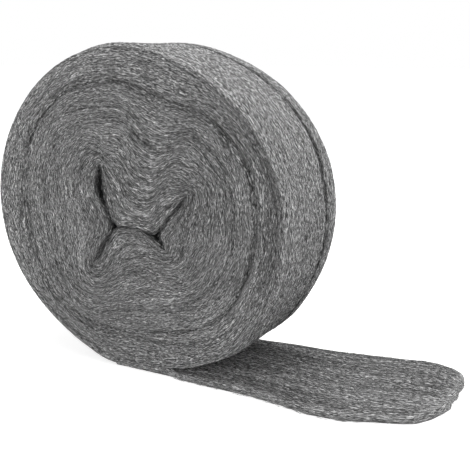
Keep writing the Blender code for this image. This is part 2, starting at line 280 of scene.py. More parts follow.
def lay_map(seed, across, along, slants):
    """A tiling map of streaks: white noise smeared along the lay, once for each slant."""
    rng = np.random.default_rng(seed)
    rise, run = np.fft.fftfreq(MAP_ROWS)[:, None], np.fft.fftfreq(MAP_COLUMNS)[None]
    total = np.zeros((MAP_ROWS, MAP_COLUMNS))
    for slant in slants:
        smear = np.exp(-2 * math.pi ** 2 * (((run + slant * rise) * along) ** 2 + (rise * across) ** 2))
        streaks = np.fft.ifft2(np.fft.fft2(rng.standard_normal(total.shape)) * smear).real
        total += streaks / streaks.std()
    return total / total.std()


def read_map(streaks, run, rise):
    """Value of a tiling map at shares of its width and height, blended between its four nearest cells."""
    run, rise = (run % 1) * MAP_COLUMNS, (rise % 1) * MAP_ROWS
    left, low = np.floor(run).astype(int), np.floor(rise).astype(int)
    right_share, high_share = run - left, rise - low
    left, low = left % MAP_COLUMNS, low % MAP_ROWS
    right, high = (left + 1) % MAP_COLUMNS, (low + 1) % MAP_ROWS
    return ((streaks[low, left] * (1 - right_share) + streaks[low, right] * right_share) * (1 - high_share)
            + (streaks[high, left] * (1 - right_share) + streaks[high, right] * right_share) * high_share)


FACE_LINES = lay_map(11, 3.4, 40, (WINDING_SLANT,))
CORE_LINES = lay_map(17, 2.2, 120, (WINDING_SLANT,))
FACE_TUFTS = lay_map(12, 6.0, 9, (WINDING_SLANT, 0.4, -0.4))
RIM_LINES = lay_map(13, 3.4, 45, (0.0, 0.02, -0.02))
RIM_TUFTS = lay_map(14, 8.0, 10, (0.0, 0.3, -0.3))
TAIL_LINES = lay_map(15, 4.5, 120, (0.0, 0.02, -0.02))
TAIL_TUFTS = lay_map(16, 8.0, 30, (0.0, 0.2, -0.2))
BACK_SHIFT = 0.37

# Height of single tufts above the even wool
TUFT_HEIGHT = 0.15
# On the free end: the share of its length in which the tufts grow, and how far along their maps it runs
TAIL_TUFTS_GROW_TO = 0.1
TAIL_LINES_RUN, TAIL_TUFTS_RUN = 0.25, 0.5


def face_place(turn, layer, side, height):
    """Places on a face, lifted off it by a height."""
    x, z, outward = layer_point(turn, layer)
    tufts = read_map(FACE_TUFTS, turn + BACK_SHIFT * (side > 0), layer / MAP_LAYERS)
    below_rim = TURNS + turn % 1 - layer
    lift = height + TUFT_HEIGHT * tufts * ramp(below_rim, 0, 0.5)
    drop = EDGE_DROP * edge_share(turn % 1) * (1 - np.clip(below_rim / FACE_EDGE, 0, 1))
    y = side * (HALF - face_depth(turn, layer, side) + lift)
    return np.stack((x - drop * outward[..., 0], y, z - drop * outward[..., 1]), -1)


def rim_place(turn, y, height, flat=True):
    """Places on the rim at y across the ribbon, lifted off it by a height."""
    edge = np.maximum(0, np.abs(y) - HALF + EDGE_REACH) / EDGE_REACH
    swell = sum(share * np.cos(2 * math.pi * (count * turn + across * y / WIDTH) + start)
                for count, across, share, start in RIM_SWELLS)
    drop = EDGE_DROP * edge ** 2 + FURROW_DEPTH * bump(y, FURROW_Y, FURROW_HALF)
    drop = drop + THICK * swell * (1 - ramp(turn, *RIM_SWELLS_FADE))
    drop = drop + TUFT_HEIGHT * read_map(RIM_TUFTS, turn, y / WIDTH) * (1 - edge)
    drop = edge_share(turn) * drop - height
    x, z, outward = layer_point(turn, TURNS + turn)
    inset = np.where(y < 0, face_depth(turn, TURNS + turn, -1), face_depth(turn, TURNS + turn, 1))
    place = np.stack((x - drop * outward[..., 0], y * (1 - inset / HALF), z - drop * outward[..., 1]), -1)
    if flat:
        rests = (turn > 0.5) & (z < PRESSED)
        place[..., 0] = np.where(rests, x, place[..., 0])
        place[..., 2] = np.where(rests, 0.0, place[..., 2])
    return place


# The free end


def tail_reach(share, across):
    """Share of the free end's length at a share of the way to its torn end."""
    tear = np.array(TAIL_TEAR)
    return share * np.interp(across, tear[:, 0], tear[:, 1])


def tail_sides(reach):
    """y of the near and the far edge, which start set in, where the last turn's grooves end."""
    edges = np.array(TAIL_EDGES)
    near, far = (WIDTH * np.interp(reach, edges[:, 0], edges[:, k]) for k in (1, 2))
    set_in = (GROOVE + EDGE_BACK / 2) * (1 - ramp(reach, 0, TAIL_SIDES_SET_IN_TO))
    return set_in - HALF - near, HALF + far - set_in


def tail_thickness(share, across):
    """Height of the free end's top above the bench."""
    thick = THICK + (TAIL_THICK - THICK) * ramp(share, 0, TAIL_SINK)
    thick = thick + (TAIL_END_THICK - TAIL_THICK) * ramp(share, TAIL_THINS_FROM, 1)
    dips = sum(depth * bump(across, place, TAIL_HOLLOW_SPREAD) for place, depth in TAIL_HOLLOWS)
    thick = thick - ramp(share, 0, TAIL_HOLLOWS_GROW_TO) * dips * TAIL_THICK
    tufts = read_map(TAIL_TUFTS, share * TAIL_TUFTS_RUN, across)
    thick = thick + ramp(share, 0, TAIL_TUFTS_GROW_TO) * TUFT_HEIGHT * tufts
    edge = np.maximum(0, np.abs(across - 0.5) * WIDTH - HALF + EDGE_REACH) / EDGE_REACH
    return thick * (1 - TAIL_SIDE_SHARE * ramp(share, 0, TAIL_SINK) * edge ** 2)


def tail_place(share, across, height):
    """Places on the free end's top, lifted off it by a height."""
    reach = tail_reach(share, across)
    near, far = tail_sides(reach)
    seam_x = layer_point(1.0, TURNS)[0]
    y = near + across * (far - near)
    return np.stack((seam_x + reach * TAIL_LENGTH, y, tail_thickness(share, across) + height), -1)


def tail_under(share, across):
    """Places on the free end's under side, on the bench."""
    reach = tail_reach(share, across)
    near, far = tail_sides(reach)
    inset = EDGE_BACK / 2
    seam_x = layer_point(1.0, TURNS + 1)[0]
    y = near + inset + across * (far - near - 2 * inset)
    return np.stack((seam_x + reach * TAIL_LENGTH, y, 0 * reach), -1)


# How light or dark the wool's colour is from place to place, against its plain grey of 1: its own streaks and
# tufts together with painted shade and painted light

# Half width of a thin dark line, in standard deviations of the map that it is drawn from
LINE_HALF = 0.5
# How much the maps' streaks lighten, their thin lines darken and the tufts lighten each side of the wool
FACE_STREAKS, FACE_THIN_LINES, FACE_TUFT_LIGHT = 0.05, 0.3, 0.02
CORE_STREAKS, CORE_THIN_LINES = 0.12, 0.25
RIM_STREAKS, RIM_THIN_LINES, RIM_TUFT_LIGHT = 0.06, 0.22, 0.02
TAIL_STREAKS, TAIL_THIN_LINES, TAIL_TUFT_LIGHT = 0.10, 0.25, 0.04
# The even light of each side
FACE_LIGHT, CORE_LIGHT, RIM_LIGHT, TAIL_LIGHT = 1.20, 1.08, 1.07, 0.76
UNDER_LIGHT, TAIL_SIDE_LIGHT, TORN_LIGHT = 0.8, 0.85, 0.9
LEAST_LIGHT, LEAST_RIM_LIGHT, MOST_LIGHT = 0.2, 0.15, 1.6
# Layers from the hollow between which the core's look gives way to the outer turns'
CORE_ENDS = (3, 6)
# Painted shade in the grooves between the turns, and in creases in their deep stretches: how dark, and half a
# width in turns
GROOVE_PAINTED_SHADE, GROOVE_SHADE_HALF = 0.05, 0.22
DEEP_PAINTED_SHADE, CREASE_PAINTED_SHADE, CREASE_HALF = 0.15, 0.35, 0.08
# Painted shade on the face at the hollow's edge
HOLLOW_EDGE_PAINTED_SHADE, HOLLOW_EDGE_HALF = 0.5, 0.22
# Painted shade in the groove over the last turn where that turn leaves the roll
LAST_GROOVE_PAINTED_SHADE, LAST_GROOVE_HALF, LAST_GROOVE_GROWS = 0.6, 0.3, (0.78, 0.9)
# Painted shade on the shoulder on the right of the front face, and on all of that side outside the core
SHOULDER_PAINTED_SHADE, SHOULDER_SHADE_REACH, RIGHT_PAINTED_SHADE = 0.38, 1.6, 0.08
# Painted shade in the furrow: how dark, how much its streaks add, and its place and half width in half
# furrows
FURROW_PAINTED_SHADE, FURROW_SHADE_STREAKS, FURROW_SHADE_SHIFT, FURROW_SHADE_REACH = 0.6, 0.12, 0.4, 1.6
# The free end: painted shade in its hollows, painted light on its start in the roll's shadow, which leaves
# its near edge dark, and the lighter torn end
TAIL_HOLLOW_PAINTED_SHADE, TAIL_HOLLOW_SHADE_HALF = 0.14, 0.05
TAIL_START_PAINTED_LIGHT, TAIL_START_GROWS, TAIL_START_FADES, TAIL_START_SIDE = 0.5, (0, 0.06), (0.1, 0.4), (0, 0.12)
TORN_EDGE_LIGHT, TORN_EDGE_GROWS = 0.4, (0.93, 1.0)
# Painted shade inside the hollow: its light at the faces, how much it loses, and in which share of the width
HOLLOW_LIGHT, HOLLOW_PAINTED_SHADE, HOLLOW_SHADE_REACH = 0.4, 0.25, 0.3


def thin_lines(streaks):
    """1 along the thin lines where a map of streaks passes its mean, 0 between them."""
    return bump(streaks, 0.0, LINE_HALF)


def face_light(turn, layer, side):
    """On a face: fine lines along the winding, painted shade in grooves and creases, at the hollow's edge and
    over the last turn, and in front painted shade on the right shoulder.
    """
    winds = layer - turn % 1
    shift = BACK_SHIFT * (side > 0)
    lines, tufts, core_lines = (read_map(streaks, turn + shift, layer / MAP_LAYERS)
                                for streaks in (FACE_LINES, FACE_TUFTS, CORE_LINES))
    # Painted shade: masks of the grooves and of the creases in the deep stretches
    groove = bump(winds, np.round(winds), GROOVE_SHADE_HALF)
    crease = bump(winds, np.round(winds), CREASE_HALF)
    outer = ramp(layer, *CORE_ENDS)
    light = CORE_LIGHT + (FACE_LIGHT - CORE_LIGHT) * outer - GROOVE_PAINTED_SHADE * groove
    light = light + FACE_STREAKS * lines - FACE_THIN_LINES * thin_lines(lines) + FACE_TUFT_LIGHT * tufts
    light = light + (1 - outer) * (CORE_STREAKS * core_lines - CORE_THIN_LINES * thin_lines(core_lines))
    light = light - deep_at(layer) * (DEEP_PAINTED_SHADE * groove + CREASE_PAINTED_SHADE * crease)
    # Painted shade along the hollow's edge
    light = light - HOLLOW_EDGE_PAINTED_SHADE * bump(layer, 0, HOLLOW_EDGE_HALF)
    # Painted shade in the groove over the last turn near the seam
    last_groove_shade = bump(winds, TURNS - 1, LAST_GROOVE_HALF) * ramp(turn % 1, *LAST_GROOVE_GROWS)
    light = light - LAST_GROOVE_PAINTED_SHADE * last_groove_shade
    if side < 0:
        # Painted shade on the right of the front face, strongest on its shoulder
        right = bump(SEAM_DEGREES + 360 * (turn % 1), SHOULDER_ANGLE, SHOULDER_HALF)
        shoulder = bump(TURNS + turn % 1 - layer, SHOULDER_IN, SHOULDER_SHADE_REACH)
        light = light - right * (SHOULDER_PAINTED_SHADE * shoulder + RIGHT_PAINTED_SHADE * outer)
    return np.clip(light, LEAST_LIGHT, MOST_LIGHT)


def rim_light(turn, y):
    """On the rim: long lines round it, and painted shade in the furrow."""
    lines = read_map(RIM_LINES, turn, y / WIDTH)
    tufts = read_map(RIM_TUFTS, turn, y / WIDTH)
    light = RIM_LIGHT + RIM_STREAKS * lines - RIM_THIN_LINES * thin_lines(lines) + RIM_TUFT_LIGHT * tufts
    # Painted shade in the furrow, shifted onto its far wall
    middle = FURROW_Y + FURROW_SHADE_SHIFT * FURROW_HALF
    furrow = bump(y, middle, FURROW_SHADE_REACH * FURROW_HALF) * edge_share(turn)
    light = light - (FURROW_PAINTED_SHADE + FURROW_SHADE_STREAKS * lines) * furrow
    return np.clip(light, LEAST_RIM_LIGHT, MOST_LIGHT)


def tail_light(share, across):
    """On the free end: lengthwise streaks, painted shade in its hollows, painted light on its start, and a
    lighter torn end.
    """
    lines = read_map(TAIL_LINES, share * TAIL_LINES_RUN, across)
    tufts = read_map(TAIL_TUFTS, share * TAIL_TUFTS_RUN, across)
    light = TAIL_LIGHT + TAIL_STREAKS * lines - TAIL_THIN_LINES * thin_lines(lines) + TAIL_TUFT_LIGHT * tufts
    # Painted shade in the free end's hollows
    hollows = sum(bump(across, place, TAIL_HOLLOW_SHADE_HALF) for place, depth in TAIL_HOLLOWS)
    light = light - TAIL_HOLLOW_PAINTED_SHADE * hollows
    # Painted light on the start of the free end, which lies in the roll's shadow
    start = ramp(share, *TAIL_START_GROWS) * (1 - ramp(share, *TAIL_START_FADES))
    light = light + TAIL_START_PAINTED_LIGHT * start * ramp(across, *TAIL_START_SIDE)
    light = light + TORN_EDGE_LIGHT * ramp(share, *TORN_EDGE_GROWS)
    return np.clip(light, LEAST_LIGHT, MOST_LIGHT)


class Skin:
    """Collects the fine mesh: places, faces, and for each corner of a face its lay, bake place and light."""

    def __init__(self):
        self.places, self.faces, self.corners = [], [], []
        self.count = 0

    def add(self, places):
        """Adds places and returns their numbers, in the shape they came in."""
        places = np.asarray(places, float)
        self.places.append(places.reshape(-1, 3))
        numbers = np.arange(self.count, self.count + places.size // 3)
        self.count += len(numbers)
        return numbers.reshape(places.shape[:-1])

    def at(self, numbers):
        """The places that numbers stand for."""
        return np.vstack(self.places)[numbers]

    def sheet(self, numbers, lay, bake, light, girth=1.0, flip=False):
        """Adds the cells of a grid of numbers, leaving out corners that fall together."""
        grids = [np.broadcast_to(grid, numbers.shape) for grid in (numbers, *lay, *bake, light, girth)]
        cells = [np.stack((g[:-1, :-1], g[:-1, 1:], g[1:, 1:], g[1:, :-1]), -1).reshape(-1, 4) for g in grids]
        if flip:
            cells = [cell[:, ::-1] for cell in cells]
        for row in zip(*(cell.tolist() for cell in cells)):
            keep = [k for k in range(4) if row[0][k] != row[0][k - 1]]
            if len(keep) > 2:
                self.faces.append([row[0][k] for k in keep])
                self.corners += [[value[k] for value in row[1:]] for k in keep]


def band_places(band, run, rise):
    """Bake places inside a band of the bake square, from shares along and across it."""
    low, high = band
    return run, low + (high - low) * rise


# Length of a turn, as a share of the rim's: the least that strokes are drawn for, and in the hollow
LEAST_GIRTH, HOLLOW_GIRTH = 0.05, 0.2


def face_girth(turn, layer):
    """Length of a turn along the winding at a place, as a share of the rim's length."""
    step = 1 / COLUMNS
    ahead, behind = (np.stack(layer_point(turn + k * step, layer)[:2]) for k in (1, -1))
    return np.clip(np.hypot(*(ahead - behind)) / (2 * step * RIM_LENGTH), LEAST_GIRTH, 1.0)


def face_skin(skin, side, rows, band, turns, rim_edge):
    """One face of the roll, with its rows laid along the winding; returns its wall and its seam end."""
    layer = np.arange(1 - rows, TURNS * rows + 1)[None] / rows + turns[:, None]
    turn = np.broadcast_to(turns[:, None], layer.shape)
    numbers = skin.add(face_place(turn, layer, side, 0.0))
    wall = skin.add(face_place(turns, 0 * turns, side, 0.0))
    wall[-1] = wall[0]
    numbers[:, -1] = rim_edge
    numbers[-1, :-rows] = numbers[0, rows:]
    numbers = np.where(layer <= NEAR_WALL, wall[:, None], numbers)
    numbers = np.hstack((wall[:, None], numbers))
    layer = np.hstack((0 * layer[:, :1], np.maximum(layer, 0)))
    turn = np.broadcast_to(turns[:, None], layer.shape)
    bake = band_places(band, turn, layer / (TURNS + 1))
    light, girth = face_light(turn, layer, side), face_girth(turn, layer)
    skin.sheet(numbers, (turn, layer), bake, light, girth, side > 0)
    return wall, numbers[-1, -rows - 1:]


def wool_skin():
    """The whole wound ribbon with its free end as one closed skin."""
    skin = Skin()
    turns = np.arange(COLUMNS + 1) / COLUMNS
    across = np.linspace(0, 1, RIM_ROWS + 1)
    turn, y = np.meshgrid(turns, across * WIDTH - HALF, indexing="ij")
    rim = skin.add(rim_place(turn, y, 0.0))
    bake = band_places(BAKE_RIM, turn, y / WIDTH + 0.5)
    skin.sheet(rim, (turn, LAY_RIM + y / THICK), bake, rim_light(turn, y))
    front_wall, front_end = face_skin(skin, -1, FRONT_ROWS, BAKE_FRONT, turns, rim[:, 0])
    back_wall, back_end = face_skin(skin, 1, BACK_ROWS, BAKE_BACK, turns, rim[:, -1])

    # Inside of the hollow, straight through from face to face
    steps = np.linspace(0, 1, HOLLOW_ROWS + 1)
    front, back = skin.at(front_wall), skin.at(back_wall)
    inner = skin.add(front[:, None] + (back - front)[:, None] * steps[None, 1:-1, None])
    inner[-1] = inner[0]
    numbers = np.hstack((front_wall[:, None], inner, back_wall[:, None]))
    turn, step = np.meshgrid(turns, steps, indexing="ij")
    # Painted shade: the hollow's wall grows darker away from both faces
    deep = ramp(step, 0, HOLLOW_SHADE_REACH) * ramp(1 - step, 0, HOLLOW_SHADE_REACH)
    lay, bake = (turn, LAY_HOLLOW + step * WIDTH / THICK), band_places(BAKE_HOLLOW, turn, step)
    skin.sheet(numbers, lay, bake, HOLLOW_LIGHT - HOLLOW_PAINTED_SHADE * deep, HOLLOW_GIRTH, True)

    tail_skin(skin, rim, front_end, back_end, across)
    return skin


def tail_skin(skin, rim, front_end, back_end, across):
    """The free end, joined to the end of the last turn."""
    share, over = np.meshgrid(np.linspace(0, 1, TAIL_COLUMNS + 1), across, indexing="ij")
    top = skin.add(tail_place(share, over, 0.0))
    under = skin.add(tail_under(share, over))
    top[0], under[0] = rim[0], rim[-1]
    lay = (share * TAIL_LENGTH / RIM_LENGTH, LAY_TAIL + over * WIDTH / THICK)
    skin.sheet(top, lay, band_places(BAKE_TAIL, share, over), tail_light(share, over), flip=True)
    skin.sheet(under, lay, band_places(BAKE_UNDER, share, over), UNDER_LIGHT)
    side_ends = []
    for side, column, first, band, lay_start in (
        (-1, 0, front_end, BAKE_NEAR, LAY_NEAR),
        (1, -1, back_end, BAKE_FAR, LAY_FAR),
    ):
        down = np.linspace(0, 1, len(first))
        high_places, low_places = skin.at(top[:, column]), skin.at(under[:, column])
        places = high_places[:, None] + (low_places - high_places)[:, None] * down[None, :, None]
        places[..., 1] += side * TAIL_SIDE_SWELL * np.sin(math.pi * down)[None]
        inner = skin.add(places[:, 1:-1])
        numbers = np.hstack((top[:, column][:, None], inner, under[:, column][:, None]))
        numbers[0] = first
        along, below = np.meshgrid(share[:, 0], down, indexing="ij")
        lay = (along * TAIL_LENGTH / RIM_LENGTH, lay_start - side * below)
        skin.sheet(numbers, lay, band_places(band, along, below), TAIL_SIDE_LIGHT, flip=side > 0)
        side_ends.append(numbers[-1])

    # The torn end: a band halfway down stands out a little, and the two sides close onto it
    band = skin.add((skin.at(top[-1]) + skin.at(under[-1])) / 2 + (TORN_BULGE, 0, 0))
    rows = np.stack((top[-1], band, under[-1]))
    down, over = np.meshgrid((0, 0.5, 1), across, indexing="ij")
    lay, bake = (over * TORN_RUN, LAY_TORN + down), band_places(BAKE_TORN, over, down)
    skin.sheet(rows, lay, bake, TORN_LIGHT, flip=True)
    for edge, end, flip in ((side_ends[0], band[0], True), (side_ends[1], band[-1], False)):
        fan = np.stack((edge, np.full_like(edge, end)), 1)
        down, reach = np.meshgrid(np.linspace(0, 1, len(edge)), (0, 1), indexing="ij")
        lay, bake = (reach * TORN_RUN, LAY_TORN_SIDES + down), band_places(BAKE_TORN_SIDES, reach, down)
        skin.sheet(fan, lay, bake, TORN_LIGHT, flip=flip)


def link_mesh(name, places, faces, corners):
    """A new smooth object from places in millimetres, with named values for each corner of its faces."""
    mesh = bpy.data.meshes.new(name)
    counts = np.array([len(face) for face in faces], np.int32)
    numbers = np.concatenate([np.asarray(face, np.int32) for face in faces])
    mesh.vertices.add(len(places))
    mesh.vertices.foreach_set("co", (places * 0.001).astype(np.float32).ravel())
    mesh.loops.add(len(numbers))
    mesh.loops.foreach_set("vertex_index", numbers)
    mesh.polygons.add(len(counts))
    mesh.polygons.foreach_set("loop_start", np.concatenate(([0], np.cumsum(counts)[:-1])).astype(np.int32))
    mesh.update(calc_edges=True)
    for label, values in corners.items():
        values = np.asarray(values, np.float32)
        if values.ndim == 2:
            mesh.uv_layers.new(name=label).uv.foreach_set("vector", values.ravel())
        else:
            mesh.attributes.new(label, "FLOAT", "CORNER").data.foreach_set("value", values)
    mesh.uv_layers.active = mesh.uv_layers["OFBake"]
    mesh.shade_smooth()
    thing = bpy.data.objects.new(name, mesh)
    bpy.context.scene.collection.objects.link(thing)
    return thing


def build_wool(material):
    """The wound ribbon, in place of the plain solid."""
    skin = wool_skin()
    used, numbers = np.unique(np.concatenate(skin.faces), return_inverse=True)
    ends = np.cumsum([len(face) for face in skin.faces])[:-1]
    lay_run, lay_rise, bake_run, bake_rise, light, girth = np.array(skin.corners).T
    lay, bake = np.stack((lay_run, lay_rise), 1), np.stack((bake_run, bake_rise), 1)
    values = {"OFBake": bake, "Lay": lay, "Light": light, "Girth": girth}
    wool = link_mesh("wound_wool", np.vstack(skin.places)[used], np.split(numbers, ends), values)
    wool.data.materials.append(material)
    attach(wool, "root")
    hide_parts("steel_wool_roll")


# Loose fibres

# Shares along a fibre of its three points: a tip, the middle with its ring, the other tip
FIBRE_STEPS = np.array((-0.5, 0.0, 0.5))
RING = 3
# How far the tips are tucked under the wool's surface
TUCK = 0.1
# Spread of the lengths and of the bends, and the share of a bend that lies beyond the fibre's middle line
LENGTH_SPREAD, BEND, BEND_BEYOND = 0.35, 0.1, 0.08
# Shares of the given lift and thickness that a fibre can have
LIFT_SHARES, WIDTH_SHARES = (0.1, 1.0), (0.6, 1.3)
# How far the free tip of a flyaway fibre stands off, and the least height of any fibre above the bench
FLIGHT, LEAST_HEIGHT = (0.5, 1.5), 0.02
# Margin of each fibre's own cell in the bake square
CELL_MARGIN = 0.12
# Greys of the darkest and the brightest single fibres, and the share of them that get a painted glint and its
# gain
FIBRE_DARK, FIBRE_BRIGHT = 0.04, 0.95
PAINTED_GLINT_SHARE, PAINTED_GLINT_GAIN = 0.012, 2.0


def fibre_faces():
    """Faces of one fibre, and the place of each face's corners along and round it as shares."""
    faces, corners = [], []
    for k in range(RING):
        after = (k + 1) % RING
        low, high, middle = k / RING, (k + 1) / RING, (k + 0.5) / RING
        faces += [(0, 1 + k, 1 + after), (1 + RING, 1 + after, 1 + k)]
        corners += [((0, middle), (0.5, low), (0.5, high)), ((1, middle), (0.5, high), (0.5, low))]
    return np.array(faces), np.array(corners)


def fibre_places(paths, lifts, radii):
    """First tip, ring and last tip of each fibre, from paths with three points to a fibre."""
    tangent = paths[:, 2] - paths[:, 0]
    side = np.cross(tangent, lifts[:, 1])
    side /= np.maximum(np.linalg.norm(side, axis=-1, keepdims=True), 1e-9)
    rise = np.cross(side, tangent)
    rise /= np.maximum(np.linalg.norm(rise, axis=-1, keepdims=True), 1e-9)
    rings = []
    for k in range(RING):
        angle = math.pi / 2 + 2 * math.pi * k / RING
        rings.append(paths[:, 1] + radii * (math.cos(angle) * side + math.sin(angle) * rise))
    return np.stack((paths[:, 0], *rings, paths[:, 2]), 1)


def even_shares(rng, count, long_cells):
    """Shares along and across for each fibre, one fibre to a cell, and its rank from dark to bright.

    A cell is long_cells times as long as it is wide, and every four neighbours have a fibre from each
    quarter of the ranks, so that the fibres don't clump.
    """
    across = 2 * math.ceil(math.sqrt(count * long_cells) / 2)
    along = 2 * math.ceil(count / across / 2)
    column, row = np.meshgrid(np.arange(along), np.arange(across), indexing="ij")
    quarters = rng.permuted(np.tile(np.arange(4), (along * across // 4, 1)), axis=1)
    quarters = quarters.reshape(along // 2, across // 2, 2, 2).transpose(0, 2, 1, 3).reshape(along, across)
    grids = ((column, along), (row, across), (quarters, 4))
    shares = [(grid + rng.random(grid.shape)) / top for grid, top in grids]
    chosen = rng.permutation(along * across)[:count]
    return [share.ravel()[chosen] for share in shares]


def loose_fibres(name, side, material, seed, count, long_cells, length, width, slant, lift, fly):
    """Loose fibres on one side of the wool.

    A side is three functions. The first gives the middles of the fibres and how deep they start, the
    second a place on the wool from its two coordinates and a height, and the third its light there.
    """
    spread, place, light = side
    rng = np.random.default_rng(seed)
    first, second, rank = even_shares(rng, count, long_cells)
    run, rise, start = spread(first, second, rng)
    nudge = 1e-3
    along = (place(run + nudge, rise, 0.0) - place(run - nudge, rise, 0.0)) / (2 * nudge)
    over = (place(run, rise + nudge, 0.0) - place(run, rise - nudge, 0.0)) / (2 * nudge)
    speed, stride = (np.maximum(np.linalg.norm(v, axis=-1), 1.0)[:, None] for v in (along, over))
    step = FIBRE_STEPS[None]
    each = (count, 1)
    reach = length * rng.lognormal(0, LENGTH_SPREAD, each)
    angle = rng.normal(0, slant, each)
    bend = rng.normal(0, BEND, each)
    forward = step * reach * np.cos(angle)
    sideways = step * reach * np.sin(angle) + bend * (step ** 2 - BEND_BEYOND) * reach
    high = lift * rng.uniform(*LIFT_SHARES, each)
    height = start[:, None] + high - (high + TUCK) * 4 * step ** 2
    loose = rng.random(each) < fly
    flight = rng.uniform(*FLIGHT, each) * (0.5 + step * rng.choice((-1, 1), each)) ** 2
    height = np.where(loose, height + TUCK + flight, height)
    where = run[:, None] + forward / speed, rise[:, None] + sideways / stride
    paths = place(*where, height)
    lifts = place(*where, height + 1.0) - paths
    radii = 0.5 * width * rng.uniform(*WIDTH_SHARES, each)
    places = fibre_places(paths, lifts, radii).reshape(-1, 3)
    places[:, 2] = np.maximum(places[:, 2], LEAST_HEIGHT)
    own_faces, shares = fibre_faces()
    faces = (own_faces[None] + (RING + 2) * np.arange(count)[:, None, None]).reshape(-1, 3)
    own = FIBRE_DARK * (FIBRE_BRIGHT / FIBRE_DARK) ** rank
    # Painted glints: the brightest few fibres made brighter still
    own = np.where(rank > 1 - PAINTED_GLINT_SHARE, PAINTED_GLINT_GAIN, 1) * own
    # Each fibre's grey: its own random tone times the wool's painted light and shade where it lies
    tones_and_light = np.minimum(own[:, None] * light(*where), 1)
    points = (own_faces.ravel() + RING - 1) // RING
    cells = math.ceil(math.sqrt(count))
    cell = np.stack((np.arange(count) % cells, np.arange(count) // cells), 1)
    bake = (cell[:, None, None] + CELL_MARGIN + (1 - 2 * CELL_MARGIN) * shares[None]) / cells
    values = {"OFBake": bake.reshape(-1, 2), "Tone": tones_and_light[:, points].ravel()}
    fibres = link_mesh(name, places, faces, values)
    fibres.data.materials.append(material)
    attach(fibres, "root")


# Squared share of the roll's radius that the hollow takes
HOLLOW_SHARE = 0.035
# Shares of the rim and of the free end that the middles of fibres start and stop at
RIM_FIBRES_FROM, RIM_FIBRES_TO = 0.03, 0.95
TAIL_FIBRES_FROM, TAIL_FIBRES_TO, TAIL_FIBRES_BESIDE = 0.02, 1.005, 0.01
# Past these shares of the free end a fibre starts somewhere down its edge
TAIL_TORN_FROM, TAIL_EDGE_SHARE = 0.985, 0.01
# Fibres in the hollow: how far behind the front face and off the wall they lie, how much they crowd
# to the front, their painted light there and the share of it that painted shade takes at the back
HOLLOW_FIBRES_DEEP, HOLLOW_FIBRES_OFF, HOLLOW_FIBRES_CROWD = 22, 1.3, 1.5
HOLLOW_FRONT_LIGHT, HOLLOW_FIBRES_SHADE = 0.45, 0.8


def spread_face(first, second, rng):
    """Middles of fibres over a face, as many to each square millimetre near the hollow as near the rim."""
    inner = math.sqrt(HOLLOW_SHARE)
    radius = np.sqrt(HOLLOW_SHARE + (1 - HOLLOW_SHARE) * second)
    return first, (radius - inner) / (1 - inner) * (TURNS + first), 0 * first


def spread_rim(first, second, rng):
    """Middles of fibres over the rim, clear of the seam."""
    run = RIM_FIBRES_FROM + (RIM_FIBRES_TO - RIM_FIBRES_FROM) * first
    return run, WIDTH * second - HALF, 0 * first


def spread_tail(first, second, rng):
    """Middles of fibres over the free end's top, and down its long edges and its torn end."""
    share = TAIL_FIBRES_FROM + (TAIL_FIBRES_TO - TAIL_FIBRES_FROM) * first
    across = (1 + 2 * TAIL_FIBRES_BESIDE) * second - TAIL_FIBRES_BESIDE
    edge = (across < TAIL_EDGE_SHARE) | (across > 1 - TAIL_EDGE_SHARE) | (share > TAIL_TORN_FROM)
    return share, across, np.where(edge, -TAIL_END_THICK * rng.random(len(first)), 0.0)


def spread_hollow(first, second, rng):
    """Middles of fibres along the hollow's wall, most of them near the front, some way off the wall."""
    length = np.concatenate(([0], np.cumsum(np.hypot(*np.diff(SPOKE_START, axis=0).T))))
    turn = np.interp(first, length / length[-1], SPOKE_TURNS)
    depth = HOLLOW_FIBRES_DEEP * second ** HOLLOW_FIBRES_CROWD
    return turn, depth, HOLLOW_FIBRES_OFF * rng.random(len(first))


def face_side(side):
    """The side of the wool that a face is, with its places kept between the hollow and the rim."""
    def place(turn, layer, height):
        return face_place(turn, np.clip(layer, 0, TURNS + turn % 1), side, height)

    def light(turn, layer):
        return face_light(turn, layer, side)

    return spread_face, place, light


def on_rim(turn, y, height):
    """Places on the rim, kept between its edges and not pressed flat on the bench."""
    return rim_place(turn, np.clip(y, -HALF, HALF), height, False)


def in_hollow(turn, depth, height):
    """Places off the hollow's wall, at a depth behind the front face."""
    x, z = layer_point(turn, 0 * turn)[:2]
    normal = np.stack([np.interp(turn % 1, SPOKE_TURNS, column) for column in SPOKE_NORMAL.T], -1)
    y = depth - HALF + face_depth(turn, 0 * turn, -1)
    return np.stack((x - height * normal[..., 0], y, z - height * normal[..., 1]), -1)


def hollow_light(turn, depth):
    """In the hollow: painted shade, darker from the front face inward."""
    return HOLLOW_FRONT_LIGHT * (1 - HOLLOW_FIBRES_SHADE * ramp(depth, 0, HOLLOW_FIBRES_DEEP)) + 0 * turn


def all_fibres(material):
    """Loose fibres over the whole wool.

    A row's numbers are its seed, the count of fibres, how long their cells are, the fibres' length,
    width, slant and lift, and the share of them that fly away.
    """
    front, back, rim = face_side(-1), face_side(1), (spread_rim, on_rim, rim_light)
    tail, hollow = (spread_tail, tail_place, tail_light), (spread_hollow, in_hollow, hollow_light)
    for name, side, *numbers in (
        ("fibres_front_low", front, 21, 33000, 0.2, 5.5, 0.36, 0.06, 0.25, 0.0),
        ("fibres_front_high", front, 22, 33000, 0.2, 4.5, 0.33, 0.08, 0.35, 0.001),
        ("fibres_back", back, 23, 14000, 0.2, 8, 0.7, 0.09, 0.4, 0.002),
        ("fibres_rim", rim, 24, 33000, 0.2, 5.5, 0.36, 0.07, 0.25, 0.001),
        ("fibres_free_end", tail, 25, 15000, 0.7, 6.5, 0.38, 0.08, 0.25, 0.002),
        ("fibres_hollow", hollow, 26, 5000, 1.0, 4.5, 0.45, 0.5, 0.3, 0.0),
    ):
        loose_fibres(name, side, material, *numbers)


# Finishes


